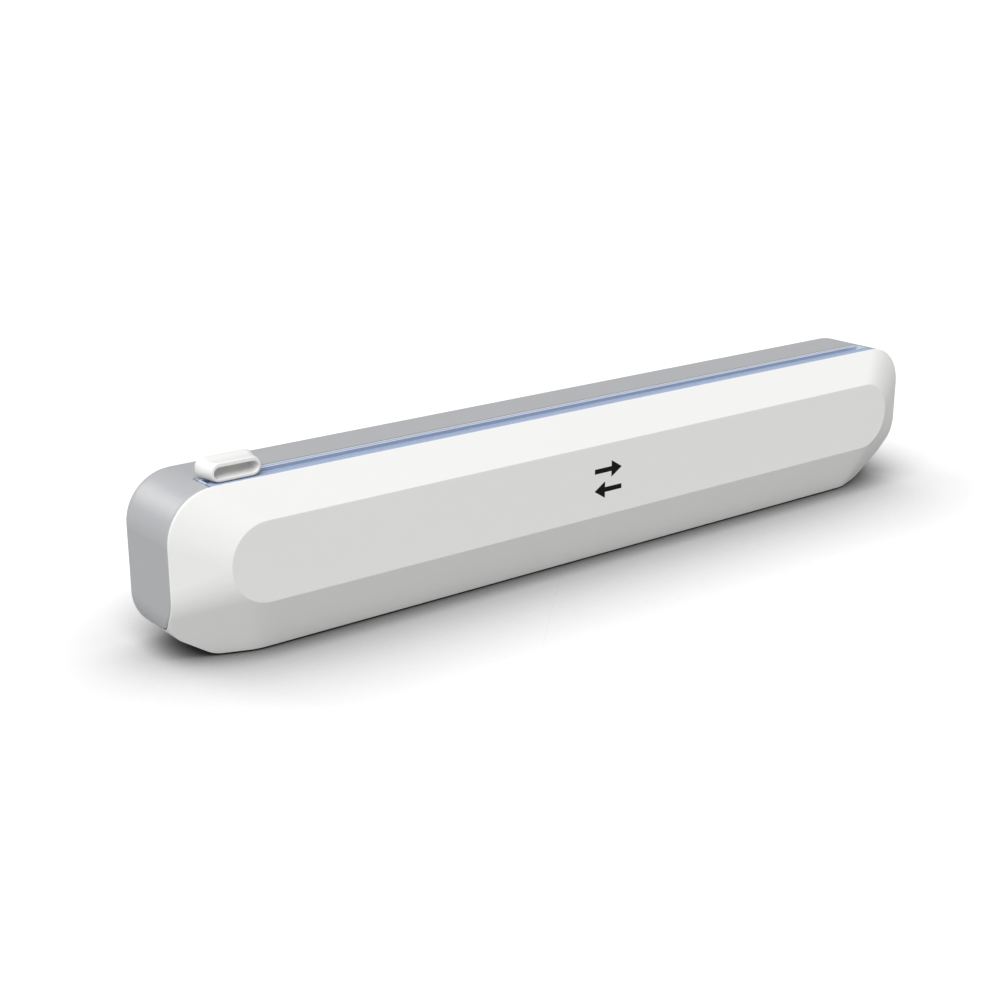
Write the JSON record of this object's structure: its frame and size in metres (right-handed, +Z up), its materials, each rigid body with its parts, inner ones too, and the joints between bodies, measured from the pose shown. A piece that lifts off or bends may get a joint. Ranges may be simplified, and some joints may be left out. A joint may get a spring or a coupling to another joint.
{
  "type": "cling film dispenser",
  "caption": "Long table-top case for a roll of cling film, with a rail along its top front edge, a slide cutter that runs on it and a rear cover that hinges open.",
  "frame": {"origin": "centre of the bounding box's bottom face, on the table under the rubber feet", "axes": "+X along the case towards its right end, as seen from the front, -Y out of the flat front facet, +Z up"},
  "size_m": [0.3674, 0.0486, 0.0704],
  "materials": {
    "white_plastic": "fine satin moulded ABS",
    "grey_plastic": "fine satin moulded ABS",
    "blue_rail": "translucent extruded rail",
    "pale_blue_plastic": "glossy moulded acetal",
    "black_ink": "matt black inlay",
    "steel": "fine brushed",
    "magnet": "nickel plated",
    "rubber": "matt soft rubber",
    "soft_strip": "soft silicone",
    "cardboard": "wound paper tube",
    "cling_film": "clear wound film"
  },
  "bodies": {
    "case": {"front_shell": "white_plastic", "front_mark": "black_ink", "cutter_track": "blue_rail", "track_stop_left": "pale_blue_plastic", "track_stop_right": "pale_blue_plastic", "track_screws": "steel", "film_grip_strip": "soft_strip", "saddle_left": "white_plastic", "saddle_right": "white_plastic", "saddle_screws": "steel", "hinge_pins": "steel", "shell_magnets": "magnet", "feet": "rubber"},
    "cover": {"rear_cover": "grey_plastic", "cover_magnets": "magnet"},
    "slider": {"slider_body": "white_plastic", "slider_foot": "pale_blue_plastic", "cutter_blades": "steel", "foot_screws": "steel"},
    "roll": {"core_tube": "cardboard", "film_roll": "cling_film", "hub_left": "grey_plastic", "hub_right": "grey_plastic"}
  },
  "joints": [
    {"name": "cutter_slide", "type": "slide", "parent": "case", "child": "slider", "axis": [1, 0, 0], "range_m": [0, 0.3122]},
    {"name": "cover_hinge", "type": "hinge", "parent": "case", "child": "cover", "pos_m": [0, 0.0217, 0.01145], "axis": [-1, 0, 0], "range_deg": [0, 95]},
    {"name": "roll_spin", "type": "hinge", "parent": "case", "child": "roll", "pos_m": [0, -0.0011, 0.024], "axis": [1, 0, 0], "continuous": true}
  ]
}
